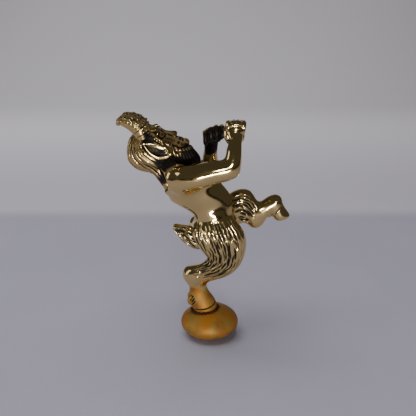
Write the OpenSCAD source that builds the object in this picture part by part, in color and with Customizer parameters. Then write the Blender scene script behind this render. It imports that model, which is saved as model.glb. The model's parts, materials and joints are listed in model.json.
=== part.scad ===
// A dancing faun on a domed foot: a cast brass car mascot.
// X is the way the figure faces, Z is up, and -Y is the figure's right side.
// The origin is the centre of the flat underside, on the mouth of the fixing hole.

/* [Base] */
// Largest radius of the squashed ball that the figure stands on
base_r = 13; // [12.5:0.1:14]
// Height of the ball's upper half, before the seat is cut
base_upper_h = 7.3; // [7:0.1:8]
// Height of the ball's lower half, before the underside is cut
base_lower_h = 6.5; // [6.4:0.1:8]
// Height of the ball's widest line above the flat underside
base_mid_z = 5.9; // [5.6:0.1:6.1]
// Radius of the flat seat that the hoof is brazed to
seat_r = 6.1; // [5.9:0.05:6.3]
// Height of the middle of that seat
seat_z = 12; // [11.9:0.05:12.2]
// Tilt of the seat towards the heel, in degrees
seat_tilt = 5; // [4:0.5:6]

/* [Fixing] */
// Wall radius of the tapped hole, a 6 mm thread
stud_hole_r = 2.5; // [2.4:0.05:2.65]
// Depth of the tapped hole
stud_hole_l = 6; // [5:0.5:6.5]

/* [Pins] */
// Radius of the dowel in the standing foot
foot_pin_r = 1.5; // [1.2:0.1:1.7]
// Radius of the dowel in the waist
waist_pin_r = 2.5; // [2:0.1:3]
// Radius of the dowel in the neck
neck_pin_r = 2; // [1.5:0.1:2.4]
// Radius of the two dowels in the shoulders
shoulder_pin_r = 1.5; // [1:0.1:1.8]

/* [Head] */
// Distance from the middle of the head to each horn
horn_spread = 4.2; // [3.8:0.1:4.6]
// Radius of each horn at its root
horn_r = 2.9; // [2.6:0.1:3.1]
// Distance from the middle of the head to each ear
ear_spread = 8.7; // [8.4:0.1:9]
// Thickness of an ear
ear_thick = 2.4; // [2:0.1:2.8]

/* [Smoothness] */
// Corners round each swept limb
sides = 16; // [12:2:20]
// Rings between two neighbouring stations of a limb
steps = 3; // [2:1:4]

/* [Hidden] */

brass = [0.72, 0.56, 0.26];
dark_brass = [0.45, 0.33, 0.16];
warm_brass = [0.62, 0.40, 0.17];
far = 200;              // size of a cutting block, well past the figure
pin_fn = 48;            // facets on a dowel and its bore
base_fn = 96;           // facets round the base
ball_fn = 32;           // facets round the buttock

seat_x = -2;            // middle of the seat, a little behind the middle of the base
seat_clear = 8;         // height that the seat's cutter clears above it
braze_h = 0.5;          // thickness of the ring of braze round the hoof
buttock_at = [-4.6, 4.8, 51.2];     // middle of the left buttock
buttock_r = 4.6;

// Where each dowel starts, and its length. The shoulder's is given for the left side.
foot_pin_start = [-3, 0, 8.5];
foot_pin_l = 11.5;
waist_pin_start = [1.5, 0, 50];
waist_pin_l = 13;
neck_pin_l = 9;
shoulder_pin_start = [-12, 5, 75.5];
shoulder_pin_l = 5.5;

// A station is a centre and the two half-axes of an elliptical ring. pair() makes one from the
// two ends of the ring in the side view, its place across the figure and its half-width there.
function pair(a, b, y, w) =
    [[(a[0] + b[0]) / 2, y, (a[1] + b[1]) / 2], [(b[0] - a[0]) / 2, 0, (b[1] - a[1]) / 2], [0, w, 0]];

// Standing (right) leg, from the hip down to the sole: back edge, front edge, place across, half-width.
hip = 0;
knee = 4;
hock = 8;
coronet = 15;
sole = 17;
standing = [
    pair([-6.2, 52.5], [10.5, 57], -3.6, 5.6),
    pair([-6.8, 47.5], [14.0, 52.6], -4, 6.4),
    pair([-4.6, 43.4], [15.7, 48.6], -4, 6.4),
    pair([-2.4, 40.6], [16.0, 44.0], -3.9, 6.1),
    pair([-1.3, 39.2], [15.0, 38.8], -3.6, 5.7),
    pair([-1.3, 38.0], [12.4, 33.6], -3.2, 5.2),
    pair([-2.2, 36.6], [8.4, 30.0], -2.7, 4.8),
    pair([-4.6, 34.9], [3.6, 28.0], -2.1, 4.4),
    pair([-8.2, 34.0], [-0.4, 26.3], -1.5, 4.1),
    pair([-11.4, 31.6], [-1.0, 25.0], -1, 4.0),
    pair([-11.9, 28.2], [-1.0, 23.8], -0.7, 3.8),
    pair([-10.2, 25.2], [-0.9, 22.6], -0.4, 3.5),
    pair([-9.0, 22.6], [-0.3, 21.2], -0.2, 3.5),
    pair([-9.5, 19.8], [1.0, 19.2], 0, 4.0),
    pair([-10.1, 16.8], [2.3, 17.3], 0, 4.5),
    pair([-8.2, 14.0], [3.0, 16.0], 0, 4.9),
    pair([-7.6, 13.0], [3.3, 14.3], 0, 5.2),
    pair([-7.5, 11.0], [3.5, 11.0], 0, 5.3)];

// Raised (left) leg, from the hip out to the hoof: under edge, upper edge, place across, half-width.
raised_knee = 3;
raised_hock = 6;
raised_coronet = 11;
raised = [
    pair([-3.0, 47.5], [-1.5, 57.5], 4.4, 5.2),
    pair([4.0, 47.6], [3.0, 62.0], 5.6, 5.6),
    pair([9.8, 49.8], [8.6, 65.0], 6.6, 5.4),
    pair([13.4, 50.2], [13.2, 66.9], 7, 5.1),
    pair([14.6, 50.9], [17.4, 66.5], 7, 4.6),
    pair([15.6, 51.2], [20.2, 63.0], 7, 4.1),
    pair([17.4, 49.8], [21.8, 60.9], 7, 3.7),
    pair([20.6, 48.3], [24.0, 62.3], 7, 3.5),
    pair([23.6, 50.2], [26.0, 63.6], 7, 3.3),
    pair([25.6, 53.6], [28.6, 64.5], 7, 3.3),
    pair([26.9, 55.2], [31.2, 63.6], 7, 3.4),
    pair([27.5, 54.6], [32.5, 60.0], 7, 3.4),
    pair([28.3, 53.0], [35.0, 56.2], 7, 3.6),
    pair([30.2, 52.1], [36.2, 54.4], 7, 3.3)];

// Trunk, from the crotch up to the neck: back edge, front edge, place across, half-width.
waist = 3;
neck = 10;
trunk = [
    pair([-3.4, 43.6], [5.0, 42.2], 0.4, 3.6),
    pair([-7.0, 46.8], [9.0, 46.0], 0.3, 7.6),
    pair([-8.6, 51.0], [11.6, 51.8], 0.2, 9.0),
    pair([-6.4, 55.6], [10.2, 57.2], 0, 7.8),
    pair([-8.3, 58.6], [10.7, 60.2], 0, 7.2),
    pair([-12.6, 61.3], [10.2, 63.8], 0, 7.5),
    pair([-17.2, 64.2], [8.4, 67.4], 0, 8.5),
    pair([-20.4, 68.0], [5.4, 71.2], 0, 9.4),
    pair([-21.6, 71.6], [2.6, 75.2], 0, 9.8),
    pair([-20.8, 75.0], [-0.8, 79.0], 0, 8.4),
    pair([-18.6, 78.2], [-5.6, 81.2], 0, 6.0)];

// Head, from the crown down to the tip of the beard: back edge, face edge, place across, half-width.
skull = [
    pair([-34.8, 84.6], [-34.6, 86.6], 0, 0.9),
    pair([-34.0, 81.2], [-33.2, 91.6], 0, 5.4),
    pair([-31.2, 78.0], [-30.2, 94.4], 0, 7.6),
    pair([-28.0, 76.3], [-26.0, 95.8], 0, 8.6),
    pair([-24.6, 75.3], [-21.4, 94.8], 0, 8.8),
    pair([-21.0, 74.0], [-17.0, 92.8], 0, 8.2),
    pair([-17.4, 75.0], [-12.6, 91.4], 0, 6.9),
    pair([-13.6, 78.2], [-9.2, 88.8], 0, 5.0),
    pair([-10.6, 80.6], [-7.2, 85.8], 0, 3.2),
    pair([-8.0, 80.8], [-5.4, 83.2], 0, 1.4)];
throat = [
    pair([-17.0, 70.0], [-5.0, 74.0], 0, 6.0),
    pair([-19.0, 76.0], [-8.0, 81.5], 0, 5.6),
    pair([-22.0, 82.0], [-12.0, 86.0], 0, 5.6)];
neck_cut = [-13.6, 77.2];   // middle of the neck joint, in the side view
neck_lean = -29;            // lean of the neck joint, in degrees

// Tail, from its root to its tip: under edge, upper edge, place across, half-width.
brush = [
    pair([-1.5, 42.0], [-3.5, 51.0], 0, 3.0),
    pair([-5.4, 41.2], [-6.6, 51.8], 0, 3.4),
    pair([-9.2, 42.8], [-9.6, 52.4], 0, 3.1),
    pair([-12.6, 45.8], [-12.6, 52.8], 0, 2.3),
    pair([-14.9, 49.2], [-14.6, 52.6], 0, 1.2),
    pair([-15.7, 51.2], [-15.5, 51.8], 0, 0.4)];

// Right arm, from the shoulder to the knuckles: under edge, upper edge, place across, half-width.
elbow = 5;
wrist = 9;
knuckle = 13;
right = [
    pair([-16.6, 71.6], [-16.2, 79.6], -6.4, 4.2),
    pair([-12.4, 70.6], [-12.4, 81.4], -9.4, 4.5),
    pair([-6.6, 71.2], [-7.0, 82.0], -10.9, 4.3),
    pair([-2.4, 72.4], [-2.4, 83.2], -11.5, 4.0),
    pair([3.0, 74.3], [1.6, 84.0], -11.7, 3.8),
    pair([8.4, 75.8], [4.8, 84.2], -11.8, 3.6),
    pair([11.9, 78.2], [6.0, 84.8], -11.7, 3.5),
    pair([12.7, 82.2], [6.3, 86.2], -11.2, 3.4),
    pair([12.9, 86.6], [6.7, 88.8], -10.2, 3.1),
    pair([13.0, 90.2], [7.7, 91.2], -8.8, 2.6),
    pair([13.5, 92.8], [6.7, 93.4], -7.3, 2.5),
    pair([14.2, 95.6], [6.1, 95.8], -6.1, 2.7),
    pair([14.3, 98.0], [6.7, 98.0], -5.2, 2.6),
    pair([12.8, 99.4], [8.6, 99.1], -4.8, 1.6)];

// Left arm, in the same order.
left_elbow = 4;
left_wrist = 7;
left_knuckle = 11;
left = [
    pair([-15.0, 70.8], [-14.4, 78.0], 6.2, 4.2),
    pair([-11.0, 69.8], [-11.0, 79.0], 9.3, 4.3),
    pair([-5.6, 70.0], [-6.0, 77.8], 11.8, 3.9),
    pair([-0.4, 70.9], [-2.6, 77.6], 13.4, 3.6),
    pair([3.4, 73.0], [-3.4, 78.2], 13.9, 3.4),
    pair([4.0, 77.0], [-3.5, 79.6], 13.0, 3.3),
    pair([3.5, 81.0], [-3.0, 82.0], 11.0, 3.0),
    pair([3.6, 85.0], [-2.3, 85.4], 8.8, 2.6),
    pair([4.0, 88.0], [-2.9, 88.7], 7.4, 2.5),
    pair([5.2, 90.6], [-3.1, 91.2], 6.3, 2.7),
    pair([6.3, 92.6], [-2.0, 93.6], 5.4, 2.7),
    pair([6.5, 94.0], [1.4, 95.0], 4.8, 1.7)];

// Horn and ear, for the +Y side: each station gives a centre in the side view and a radius.
horn_path = [[-25.6, 93.0, 1], [-28.4, 96.0, 0.95], [-31.6, 97.8, 0.86], [-34.8, 98.4, 0.72],
             [-37.2, 98.1, 0.48], [-38.4, 97.6, 0.2]];
ear_path = [[-16.8, 87.0, 1.0], [-18.6, 87.9, 2.1], [-21.4, 89.0, 2.8], [-24.0, 90.0, 2.2],
            [-26.2, 91.0, 1.0], [-27.2, 91.5, 0.3]];

// Smooth curve through a list of stations
function held(s, k) = s[max(0, min(len(s) - 1, k))];
function curve(p, q, r, s, t) =
    0.5 * (2 * q + (r - p) * t + (2 * p - 5 * q + 4 * r - s) * t * t + (3 * q - p - 3 * r + s) * t * t * t);
function between(s, k, t) =
    [for (j = [0:2]) curve(held(s, k - 1)[j], s[k][j], s[k + 1][j], held(s, k + 2)[j], t)];
function stations(s, first, last) =
    concat([for (k = [first:last - 1], i = [0:steps - 1]) between(s, k, i / steps)], [s[last]]);
function corner(st, turn, i) =
    st[0] + cos(turn * 360 * i / sides) * st[1] + sin(turn * 360 * i / sides) * st[2];

// A closed limb from one station of a list to another, flat at both ends
module limb(s, first, last) {
    st = stations(s, first, last);
    n = len(st);
    turn = cross(st[0][1], st[0][2]) * (st[1][0] - st[0][0]) > 0 ? 1 : -1;
    function id(k, i) = k * sides + i % sides;
    polyhedron(
        points = [for (k = [0:n - 1], i = [0:sides - 1]) corner(st[k], turn, i)],
        faces = concat(
            [[for (i = [0:sides - 1]) id(0, i)]],
            [for (k = [0:n - 2], i = [0:sides - 1]) [id(k, i), id(k + 1, i), id(k + 1, i + 1)]],
            [for (k = [0:n - 2], i = [0:sides - 1]) [id(k, i), id(k + 1, i + 1), id(k, i + 1)]],
            [[for (i = [sides - 1:-1:0]) id(n - 1, i)]]));
}

// Stations along a path that stands to one side of the middle
function side_path(path, y, flat, size, swell) =
    [for (k = [0:len(path) - 1])
        let (a = held(path, k - 1), b = held(path, k + 1), d = [b[0] - a[0], b[1] - a[1]],
             up = [-d[1], d[0]] / norm(d), r = path[k][2] * size)
        [[path[k][0], y + swell * (1 - k / (len(path) - 1)), path[k][1]],
         [up[0] * r, 0, up[1] * r], [0, flat > 0 ? flat / 2 * min(1, path[k][2]) : r, 0]]];

// Everything on the head's side of the neck joint
module above_neck() {
    translate([neck_cut[0], 0, neck_cut[1]])
        rotate([0, neck_lean, 0])
            translate([-far / 2, -far / 2, 0])
                cube(far);
}

// A disc standing on the seat: the cutter that makes it, or the ring of braze on it
module seat_disc(r, h) {
    translate([seat_x, 0, seat_z])
        rotate([0, -seat_tilt, 0])
            cylinder(r = r, h = h, $fn = base_fn);
}
module seat_cutter(r) seat_disc(r, seat_clear);

// Each dowel, or the bore that it sits in
module foot_pin_at(r) translate(foot_pin_start) cylinder(r = r, h = foot_pin_l, $fn = pin_fn);
module waist_pin_at(r) translate(waist_pin_start) cylinder(r = r, h = waist_pin_l, $fn = pin_fn);
module neck_pin_at(r)
    translate([neck_cut[0], 0, neck_cut[1]])
        rotate([0, neck_lean, 0])
            translate([0, 0, -neck_pin_l / 2])
                cylinder(r = r, h = neck_pin_l, $fn = pin_fn);
module shoulder_pin_at(r, side)
    translate([shoulder_pin_start[0], side * shoulder_pin_start[1], shoulder_pin_start[2]])
        rotate([-90 * side, 0, 0])
            cylinder(r = r, h = shoulder_pin_l, $fn = pin_fn);

// Right half of an oval's upper or lower part
module half_oval(h, side) {
    scale([base_r / h, side])
        intersection() {
            circle(r = h, $fn = base_fn);
            square(h);
        }
}
module base_dome() {
    color(warm_brass)
        difference() {
            rotate_extrude($fn = base_fn)
                intersection() {
                    translate([0, base_mid_z]) {
                        half_oval(base_upper_h, 1);
                        half_oval(base_lower_h, -1);
                    }
                    square([base_r, base_mid_z + base_upper_h]);
                }
            seat_cutter(seat_r);
            translate([0, 0, -1]) cylinder(r = stud_hole_r, h = stud_hole_l + 1, $fn = pin_fn);
            foot_pin_at(foot_pin_r);
        }
}
module foot_braze() {
    color(dark_brass)
        difference() {
            seat_disc(seat_r, braze_h);
            hoof_solid();
        }
}
module hoof_solid() limb(standing, coronet, sole);
module standing_hoof() {
    color(warm_brass)
        intersection() {
            difference() {
                hoof_solid();
                foot_pin_at(foot_pin_r);
            }
            seat_cutter(seat_r + 4);
        }
}
module standing_cannon() {
    color(warm_brass)
        difference() {
            limb(standing, hock + 2, coronet);
            foot_pin_at(foot_pin_r);
        }
}
module standing_shank() color(brass) limb(standing, knee, hock + 2);
module standing_thigh() {
    color(brass)
        difference() {
            limb(standing, hip, knee);
            limb(trunk, 0, waist + 1);
        }
}
// The pelvis, with the left buttock standing out behind
module haunch_solid() {
    limb(trunk, 0, waist);
    translate(buttock_at) sphere(r = buttock_r, $fn = ball_fn);
}
module haunches() {
    color(brass)
        difference() {
            haunch_solid();
            waist_pin_at(waist_pin_r);
        }
}
module tail() {
    color(dark_brass)
        difference() {
            limb(brush, 0, len(brush) - 1);
            haunch_solid();
            limb(standing, hip, knee);
        }
}
module raised_thigh() {
    color(brass)
        difference() {
            limb(raised, 0, raised_knee);
            limb(trunk, 0, waist + 3);
            haunch_solid();
            limb(standing, hip, knee);
        }
}
module raised_shank() color(brass) limb(raised, raised_knee, raised_hock);
module raised_cannon() color(brass) limb(raised, raised_hock, raised_coronet);
module raised_hoof() color(brass) limb(raised, raised_coronet, len(raised) - 1);
module foot_pin() color(dark_brass) foot_pin_at(foot_pin_r);
module waist_pin() color(dark_brass) waist_pin_at(waist_pin_r);
module torso() {
    color(brass)
        difference() {
            limb(trunk, waist, neck);
            above_neck();
            waist_pin_at(waist_pin_r);
            neck_pin_at(neck_pin_r);
            shoulder_pin_at(shoulder_pin_r, -1);
            shoulder_pin_at(shoulder_pin_r, 1);
        }
}
module neck_pin() color(dark_brass) neck_pin_at(neck_pin_r);
module head_solid() {
    intersection() {
        union() {
            limb(skull, 0, len(skull) - 1);
            limb(throat, 0, len(throat) - 1);
        }
        above_neck();
    }
}
module head() {
    color(brass)
        difference() {
            head_solid();
            neck_pin_at(neck_pin_r);
        }
}
module horn(side) {
    path = side_path(horn_path, side * horn_spread, 0, horn_r, side * -0.8);
    color(brass)
        difference() {
            limb(path, 0, len(path) - 1);
            limb(skull, 0, len(skull) - 1);
        }
}
module ear(side) {
    path = side_path(ear_path, side * ear_spread, ear_thick, 1, 0);
    color(brass)
        difference() {
            limb(path, 0, len(path) - 1);
            limb(skull, 0, len(skull) - 1);
        }
}
module right_horn() horn(-1);
module left_horn() horn(1);
module right_ear() ear(-1);
module left_ear() ear(1);
module right_upper_arm() {
    color(brass)
        difference() {
            limb(right, 0, elbow);
            limb(trunk, waist, neck);
            limb(skull, 0, len(skull) - 1);
            shoulder_pin_at(shoulder_pin_r, -1);
        }
}
module right_forearm() color(brass) limb(right, elbow, wrist);
module right_hand() color(brass) limb(right, wrist, knuckle);
module left_upper_arm() {
    color(dark_brass)
        difference() {
            limb(left, 0, left_elbow);
            limb(trunk, waist, neck);
            limb(skull, 0, len(skull) - 1);
            shoulder_pin_at(shoulder_pin_r, 1);
        }
}
module left_forearm() color(dark_brass) limb(left, left_elbow, left_wrist);
module left_hand() color(dark_brass) limb(left, left_wrist, left_knuckle);
module shoulder_pins() {
    color(dark_brass) {
        shoulder_pin_at(shoulder_pin_r, -1);
        shoulder_pin_at(shoulder_pin_r, 1);
    }
}

base_dome();
foot_braze();
foot_pin();
standing_hoof();
standing_cannon();
standing_shank();
standing_thigh();
haunches();
tail();
raised_thigh();
raised_shank();
raised_cannon();
raised_hoof();
waist_pin();
torso();
shoulder_pins();
neck_pin();
head();
right_horn();
left_horn();
right_ear();
left_ear();
right_upper_arm();
right_forearm();
right_hand();
left_upper_arm();
left_forearm();
left_hand();
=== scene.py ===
# %% [markdown]
# # A dancing faun, cast in brass
# The real object is a car mascot about as tall as a finger is long. It was cast in brass, dipped in a
# dark patina, and polished, so that the high places shine and every hollow stays nearly black.
# The solid frame comes from the CAD model. Here each cast section gets its true surface: flesh, fur,
# hair, horn and hoof.

# %% Load the frame
import json
import math
import random

import bpy
import numpy as np
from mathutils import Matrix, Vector, noise
from mathutils.bvhtree import BVHTree
from mathutils.kdtree import KDTree

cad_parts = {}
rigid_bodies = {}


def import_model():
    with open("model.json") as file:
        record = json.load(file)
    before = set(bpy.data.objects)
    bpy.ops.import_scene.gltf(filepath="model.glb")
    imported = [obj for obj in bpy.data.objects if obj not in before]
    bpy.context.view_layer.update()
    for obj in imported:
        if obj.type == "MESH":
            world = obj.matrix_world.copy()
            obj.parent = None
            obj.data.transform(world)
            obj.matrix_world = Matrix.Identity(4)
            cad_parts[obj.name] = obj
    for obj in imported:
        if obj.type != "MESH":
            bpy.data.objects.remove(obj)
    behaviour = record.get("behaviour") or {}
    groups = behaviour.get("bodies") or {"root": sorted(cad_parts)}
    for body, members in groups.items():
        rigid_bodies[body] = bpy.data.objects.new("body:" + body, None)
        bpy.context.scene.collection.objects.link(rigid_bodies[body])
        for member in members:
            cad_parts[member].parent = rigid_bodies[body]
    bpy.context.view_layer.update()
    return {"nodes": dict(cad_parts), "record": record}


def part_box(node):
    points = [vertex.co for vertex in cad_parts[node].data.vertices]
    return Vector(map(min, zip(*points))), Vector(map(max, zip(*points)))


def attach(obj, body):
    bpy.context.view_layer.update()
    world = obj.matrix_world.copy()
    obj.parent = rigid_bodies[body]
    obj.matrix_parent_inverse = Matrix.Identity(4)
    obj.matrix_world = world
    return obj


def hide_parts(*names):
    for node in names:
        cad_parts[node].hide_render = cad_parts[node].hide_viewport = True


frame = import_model()
MM = 0.001  # the frame is in metres, and a mascot is easier to think about in millimetres
random.seed(4)

# %% [markdown]
# ## Camera, table and light
# Polished metal has almost no colour of its own: it shows what stands round it. So the room comes
# first. It is a pale cloth that sweeps up into a wall, a dim room, and a few soft lamps.
# The camera looks down at the figure by eighteen degrees.

# %% Camera
camera_tilt = math.radians(18)
bpy.ops.object.camera_add(location=(-0.0007, -0.2365, 0.1371), rotation=(math.pi / 2 - camera_tilt, 0, 0))
camera = bpy.context.object
camera.data.lens = 50
camera.data.sensor_width = 36
bpy.context.scene.camera = camera


# %% Selecting one thing
def only(obj):
    """An operator acts on all that is selected, so everything else is let go first."""
    bpy.ops.object.select_all(action="DESELECT")
    obj.select_set(True)
    bpy.context.view_layer.objects.active = obj
    return obj


# %% Cloth and wall, one strip bent up at the back, on a dark table
bpy.ops.mesh.primitive_plane_add(size=1, location=(0, 0.23, 0), scale=(2.4, 0.74, 1))
sweep = only(bpy.context.object)
sweep.name = "cloth_and_wall"
bpy.ops.object.transform_apply(location=True, rotation=True, scale=True)
bpy.ops.object.mode_set(mode="EDIT")
bpy.ops.mesh.select_all(action="DESELECT")
bpy.ops.mesh.select_mode(type="EDGE")
bpy.ops.object.mode_set(mode="OBJECT")
for edge in sweep.data.edges:
    edge.select = all(sweep.data.vertices[v].co.y > 0.5 for v in edge.vertices)
bpy.ops.object.mode_set(mode="EDIT")
wall_turn = 12
for step in range(wall_turn):
    lean = math.radians(90 * (step + 0.5) / wall_turn)
    bpy.ops.mesh.extrude_region_move(
        TRANSFORM_OT_translate={"value": (0, 0.05 * math.cos(lean), 0.05 * math.sin(lean))})
bpy.ops.mesh.extrude_region_move(TRANSFORM_OT_translate={"value": (0, 0, 1.2)})
bpy.ops.object.mode_set(mode="OBJECT")
bpy.ops.object.shade_smooth()
bpy.ops.mesh.primitive_plane_add(size=2.4, location=(0, -1.0, -0.002))
table = only(bpy.context.object)
table.name = "table"
bpy.ops.object.transform_apply(location=True, rotation=True, scale=True)


# %% Lamps and the dim room
def lamp(name, place, aim, size, watts, colour):
    bpy.ops.object.light_add(type="AREA", location=place)
    light = bpy.context.object
    light.name = name
    light.data.shape = "RECTANGLE"
    light.data.size, light.data.size_y = size
    light.data.energy = watts
    light.data.color = colour
    light.rotation_euler = (Vector(aim) - Vector(place)).to_track_quat("-Z", "Y").to_euler()
    return light


lamp("window", (0.0, -0.31, 0.022), (0, 0, 0.07), (0.10, 0.014), 0.5, (1.0, 0.98, 0.95))
lamp("lamp_behind", (0.05, -0.62, 0.2), (0, 0, 0.06), (0.12, 0.06), 1.0, (1.0, 0.98, 0.95))
ceiling = lamp("ceiling", (-0.2, 0.1, 0.9), (0, 0.1, 0), (0.9, 0.9), 9.5, (0.97, 0.96, 1.0))
ceiling.visible_glossy = False
lamp("left_fill", (-0.8, -0.2, 0.3), (0, 0, 0.05), (0.3, 0.5), 0.8, (0.95, 0.95, 1.0))
world = bpy.data.worlds.new("dim_room")
bpy.context.scene.world = world
world.use_nodes = True
world.node_tree.nodes["Background"].inputs["Color"].default_value = (0.30, 0.29, 0.27, 1)
world.node_tree.nodes["Background"].inputs["Strength"].default_value = 0.21

# %% [markdown]
# ## Modelling wax
# A founder does not carve brass. They build a figure in wax: a core, then balls and rolls of wax
# pressed onto it, smoothed together with a warm tool. The same can be done here. Overlapping closed
# pieces are joined and voxel remeshed, which melts them into one skin, and a few smoothing passes
# play the part of the warm tool.


# %% Wax tools: copies of the core, balls and rolls
def voxel_of(full):
    """Both are in millimetres."""
    return full


def core_of(name, nodes):
    """A joined copy of some CAD nodes, with their shared points merged. The nodes stay as they are."""
    copies = []
    for node in nodes:
        copy = bpy.data.objects.new(name, frame["nodes"][node].data.copy())
        bpy.context.scene.collection.objects.link(copy)
        copies.append(copy)
    bpy.ops.object.select_all(action="DESELECT")
    for copy in copies:
        copy.select_set(True)
    bpy.context.view_layer.objects.active = copies[0]
    bpy.ops.object.join()
    bpy.ops.object.mode_set(mode="EDIT")
    bpy.ops.mesh.select_all(action="SELECT")
    bpy.ops.mesh.remove_doubles(threshold=0.000002)
    bpy.ops.object.mode_set(mode="OBJECT")
    return copies[0]


def ball(x, y, z, size, turn=(0, 0, 0)):
    """A ball of wax, in millimetres. size is a radius, or three for a squashed one."""
    radii = size if hasattr(size, "__len__") else (size, size, size)
    bpy.ops.mesh.primitive_uv_sphere_add(segments=28, ring_count=18, radius=MM,
                                         location=(x * MM, y * MM, z * MM),
                                         rotation=[math.radians(a) for a in turn], scale=radii)
    bpy.ops.object.transform_apply(location=True, rotation=True, scale=True)
    return bpy.context.object


def path_through(points, count):
    """A smooth run of points through a few given ones."""
    pts = [Vector(p) for p in points]
    out = []
    for i in range(count):
        place = i / (count - 1) * (len(pts) - 1)
        k = min(int(place), len(pts) - 2)
        t = place - k
        p, q, r, s = pts[max(k - 1, 0)], pts[k], pts[k + 1], pts[min(k + 2, len(pts) - 1)]
        out.append(0.5 * (2 * q + (r - p) * t + (2 * p - 5 * q + 4 * r - s) * t * t
                          + (3 * q - p - 3 * r + s) * t ** 3))
    return out


def path_at(guide, t):
    """The place a share t of the way down a guide line, from 0 at its start to 1 at its end."""
    place = min(max(t, 0), 0.9999) * (len(guide) - 1)
    k = int(place)
    return np.array(guide[k]) * (1 - place + k) + np.array(guide[k + 1]) * (place - k)


def rolls(name, runs, roundness=3):
    """Tapered rolls of wax. A run is a list of (point, radius), in millimetres."""
    curve = bpy.data.curves.new(name, "CURVE")
    curve.dimensions = "3D"
    curve.bevel_depth = MM
    curve.bevel_resolution = roundness
    curve.use_fill_caps = True
    for run in runs:
        spline = curve.splines.new("POLY")
        spline.points.add(len(run) - 1)
        for point, (place, radius) in zip(spline.points, run):
            point.co = (place[0] * MM, place[1] * MM, place[2] * MM, 1)
            point.radius = radius
    obj = bpy.data.objects.new(name, curve)
    bpy.context.scene.collection.objects.link(obj)
    only(obj)
    bpy.ops.object.convert(target="MESH")
    return bpy.context.object


def roll(points, radii, count=14):
    """One roll through a few points, with the radius running through a few values."""
    places = path_through(points, count)
    sizes = np.interp(np.linspace(0, 1, count), np.linspace(0, 1, len(radii)), radii)
    return list(zip(places, sizes))


def melt(core, additions, voxel):
    """Everything becomes one skin."""
    bpy.ops.object.select_all(action="DESELECT")
    for piece in additions:
        piece.select_set(True)
    core.select_set(True)
    bpy.context.view_layer.objects.active = core
    bpy.ops.object.join()
    core.data.remesh_voxel_size = voxel * MM
    core.data.remesh_voxel_adaptivity = 0
    bpy.ops.object.voxel_remesh()
    return core


def drop_crumbs(obj):
    """Melting can leave tiny bubbles inside. Only what hangs together with the highest point is kept."""
    only(obj)
    highest = max(obj.data.vertices, key=lambda vertex: vertex.co.z).index
    bpy.ops.object.mode_set(mode="EDIT")
    bpy.ops.mesh.select_mode(type="VERT")
    bpy.ops.mesh.select_all(action="DESELECT")
    bpy.ops.object.mode_set(mode="OBJECT")
    obj.data.vertices[highest].select = True
    bpy.ops.object.mode_set(mode="EDIT")
    bpy.ops.mesh.select_linked()
    bpy.ops.mesh.select_all(action="INVERT")
    bpy.ops.mesh.delete(type="VERT")
    bpy.ops.object.mode_set(mode="OBJECT")


# %% The warm tool: smoothing that keeps the volume
def places_of(mesh):
    co = np.empty(len(mesh.vertices) * 3)
    mesh.vertices.foreach_get("co", co)
    return co.reshape(-1, 3) / MM


def edges_of(mesh):
    ends = np.empty(len(mesh.edges) * 2, np.int32)
    mesh.edges.foreach_get("vertices", ends)
    return ends.reshape(-1, 2)


def normals_of(mesh):
    n = np.empty(len(mesh.vertices) * 3)
    mesh.vertex_normals.foreach_get("vector", n)
    return n.reshape(-1, 3)


def average(values, ends, count):
    """Each point's mean over its neighbours."""
    out = np.empty_like(values)
    for k in range(values.shape[1]):
        out[:, k] = (np.bincount(ends[:, 0], values[ends[:, 1], k], len(values))
                     + np.bincount(ends[:, 1], values[ends[:, 0], k], len(values)))
    return out / count


def relaxed(values, ends, steps, pull=0.5, push=0.0):
    """Smoothed values. With a push, a step back out follows each pull and keeps thin parts thick."""
    count = np.maximum(np.bincount(ends.ravel(), minlength=len(values)), 1)[:, None]
    for _ in range(steps):
        values = values + pull * (average(values, ends, count) - values)
        if push:
            values = values - push * (average(values, ends, count) - values)
    return values


def put_places(mesh, co):
    mesh.vertices.foreach_set("co", (co * MM).ravel())
    mesh.update()


def warm(obj, steps, pull=0.5, push=0.52):
    put_places(obj.data, relaxed(places_of(obj.data), edges_of(obj.data), steps, pull, push))
    return obj


def blend_limbs(obj, steps):
    """A longer smoothing for creases between limbs. What it takes off the volume is put back softly."""
    co, ends = places_of(obj.data), edges_of(obj.data)
    soft = relaxed(co, ends, steps)
    put_places(obj.data, soft + relaxed(co - soft, ends, 2 * steps))
    return obj


def warm_near(obj, spots, steps):
    """Smooths only round a few spots, each a place and a reach."""
    co, ends = places_of(obj.data), edges_of(obj.data)
    soft = relaxed(co, ends, steps)
    share = np.max([np.exp(-((np.linalg.norm(co - place, axis=1) / reach) ** 2)) for place, reach in spots],
                   axis=0)
    put_places(obj.data, co + share[:, None] * (soft - co))


# %% [markdown]
# ## Tooling marks
# Fur, locks and creases are cut with a point. Each cut is a path over the skin with a width and a
# depth, pointed at both ends. The cuts are gathered first and pushed in once, and their depth is kept,
# because the patina gathers in them later.


# %% The point and the skin it cuts
def tree_of(places):
    """For finding the nearest points quickly."""
    tree = KDTree(len(places))
    for i, place in enumerate(places):
        tree.insert(place, i)
    tree.balance()
    return tree


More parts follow.
